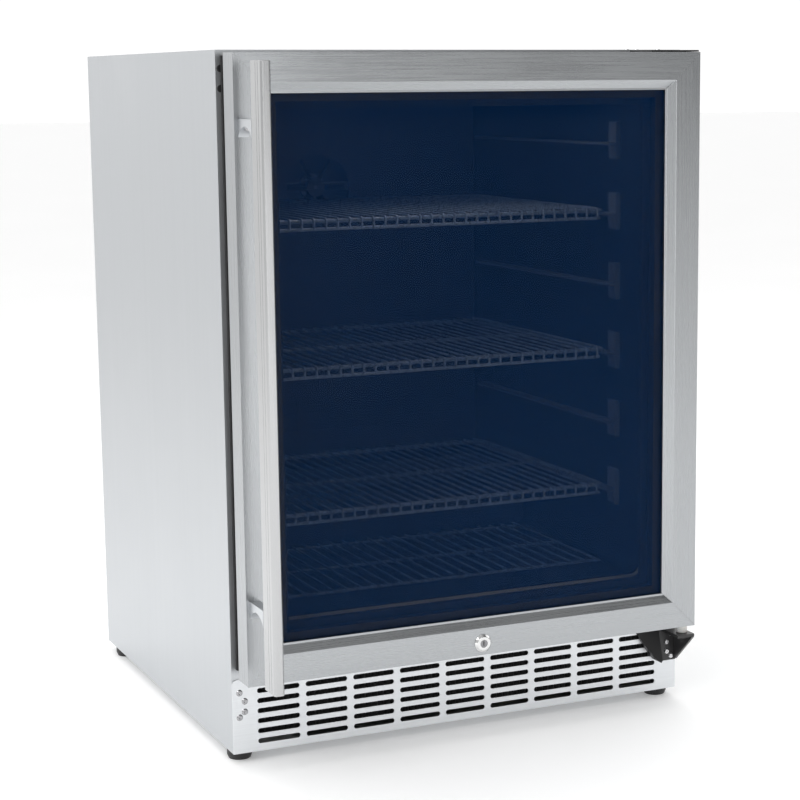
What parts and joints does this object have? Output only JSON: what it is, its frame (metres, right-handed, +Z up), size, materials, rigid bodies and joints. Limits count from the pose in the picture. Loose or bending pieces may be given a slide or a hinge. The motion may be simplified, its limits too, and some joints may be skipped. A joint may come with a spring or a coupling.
{
  "type": "undercounter refrigerator",
  "caption": "Stainless undercounter refrigerator with a framed tinted glass door, full-height bar handle, key lock, wire shelves and a slotted toe grille.",
  "frame": {"origin": "centre of the overall footprint, on the floor", "axes": "+X to the viewer's right facing the door, -Y out of the door, +Z up"},
  "size_m": [0.595, 0.674, 0.8216],
  "materials": {
    "brushed_steel": "brushed stainless sheet, fine horizontal grain",
    "satin_steel": "satin stainless, fine lengthwise grain",
    "bright_steel": "bright zinc or stainless hardware",
    "chrome": "bright plated",
    "galvanised": "galvanised sheet with faint spangle",
    "black_paint": "satin black powder coat",
    "motor_paint": "grey enamel",
    "black_plastic": "moulded, fine texture",
    "grey_plastic": "moulded, fine texture",
    "grey_button": "smooth satin",
    "white_nylon": "turned nylon",
    "white_lens": "frosted lens",
    "dark_liner": "vacuum-formed, satin",
    "foam": "rigid insulating foam",
    "black_rubber": "soft, matte",
    "tinted_glass": "toughened, blue-tinted",
    "clear_glass": "toughened, clear",
    "coated_wire": "grey coated wire",
    "aluminium_fins": "bare fins on tube"
  },
  "bodies": {
    "cabinet": {"back_panel": "galvanised", "base_pan": "galvanised", "bottom_hinge_bracket": "black_paint", "bottom_hinge_cover": "black_plastic", "compressor": "black_paint", "compressor_grommets": "black_rubber", "condenser_coil": "black_paint", "condenser_fan_motor": "motor_paint", "condenser_shroud": "galvanised", "control_housing": "black_plastic", "drip_tray": "black_plastic", "evaporator_coil": "aluminium_fins", "evaporator_cover": "dark_liner", "evaporator_fan_motor": "motor_paint", "floor_rack": "coated_wire", "foam_insulation": "foam", "front_frame": "brushed_steel", "grille_plugs": "bright_steel", "hinge_pins": "bright_steel", "hinge_screws": "bright_steel", "inner_liner": "dark_liner", "light_strip": "white_lens", "lock_keeper": "bright_steel", "power_inlet": "black_plastic", "rear_cover": "galvanised", "shelf_supports_left": "grey_plastic", "shelf_supports_right": "grey_plastic", "side_panel_left": "brushed_steel", "side_panel_right": "brushed_steel", "toe_grille": "brushed_steel", "top_hinge_bracket": "black_paint", "top_panel": "brushed_steel"},
    "door": {"door_stile_left": "brushed_steel", "door_stile_right": "brushed_steel", "door_rail_top": "brushed_steel", "door_rail_bottom": "brushed_steel", "door_sash": "black_plastic", "outer_pane": "tinted_glass", "glass_spacer": "black_plastic", "inner_pane": "clear_glass", "door_gasket": "black_rubber", "hinge_bushings": "white_nylon", "handle_grip": "satin_steel", "handle_posts": "satin_steel", "handle_screws": "bright_steel", "lock_barrel": "chrome"},
    "lock": {"lock_core": "chrome", "lock_cam": "bright_steel"},
    "shelf_1": {"wire_shelf_1": "coated_wire"},
    "shelf_2": {"wire_shelf_2": "coated_wire"},
    "shelf_3": {"wire_shelf_3": "coated_wire"},
    "evaporator_rotor": {"evaporator_fan": "black_plastic"},
    "condenser_rotor": {"condenser_fan": "black_plastic"},
    "colder_button": {"colder_button": "grey_button"},
    "warmer_button": {"warmer_button": "grey_button"},
    "light_button": {"light_button": "grey_button"},
    "foot_front_left": {"foot_front_left": "black_plastic"},
    "foot_front_right": {"foot_front_right": "black_plastic"},
    "foot_rear_left": {"foot_rear_left": "black_plastic"},
    "foot_rear_right": {"foot_rear_right": "black_plastic"}
  },
  "joints": [
    {"name": "door_hinge", "type": "hinge", "parent": "cabinet", "child": "door", "pos_m": [0.286, -0.244, 0.46], "axis": [0, 0, 1], "range_deg": [0, 110]},
    {"name": "lock_turn", "type": "hinge", "parent": "door", "child": "lock", "pos_m": [0, -0.2265, 0.121], "axis": [0, 1, 0], "range_deg": [0, 90]},
    {"name": "shelf_1_slide", "type": "slide", "parent": "cabinet", "child": "shelf_1", "axis": [0, -1, 0], "range_m": [0, 0.07]},
    {"name": "shelf_2_slide", "type": "slide", "parent": "cabinet", "child": "shelf_2", "axis": [0, -1, 0], "range_m": [0, 0.07]},
    {"name": "shelf_3_slide", "type": "slide", "parent": "cabinet", "child": "shelf_3", "axis": [0, -1, 0], "range_m": [0, 0.07]},
    {"name": "evaporator_fan_spin", "type": "hinge", "parent": "cabinet", "child": "evaporator_rotor", "pos_m": [0, 0.272, 0.64], "axis": [0, 1, 0], "continuous": true},
    {"name": "condenser_fan_spin", "type": "hinge", "parent": "cabinet", "child": "condenser_rotor", "pos_m": [-0.125, -0.113, 0.065], "axis": [0, 1, 0], "continuous": true},
    {"name": "colder_button_press", "type": "slide", "parent": "cabinet", "child": "colder_button", "axis": [0, 1, 0], "range_m": [0, 0.0012], "stiffness_N_per_m": 300},
    {"name": "warmer_button_press", "type": "slide", "parent": "cabinet", "child": "warmer_button", "axis": [0, 1, 0], "range_m": [0, 0.0012], "stiffness_N_per_m": 300},
    {"name": "light_button_press", "type": "slide", "parent": "cabinet", "child": "light_button", "axis": [0, 1, 0], "range_m": [0, 0.0012], "stiffness_N_per_m": 300},
    {"name": "foot_front_left_turn", "type": "hinge", "parent": "cabinet", "child": "foot_front_left", "pos_m": [-0.282, -0.184, 0], "axis": [0, 0, 1], "continuous": true},
    {"name": "foot_front_right_turn", "type": "hinge", "parent": "cabinet", "child": "foot_front_right", "pos_m": [0.282, -0.184, 0], "axis": [0, 0, 1], "continuous": true},
    {"name": "foot_rear_left_turn", "type": "hinge", "parent": "cabinet", "child": "foot_rear_left", "pos_m": [-0.282, 0.297, 0], "axis": [0, 0, 1], "continuous": true},
    {"name": "foot_rear_right_turn", "type": "hinge", "parent": "cabinet", "child": "foot_rear_right", "pos_m": [0.282, 0.297, 0], "axis": [0, 0, 1], "continuous": true}
  ]
}
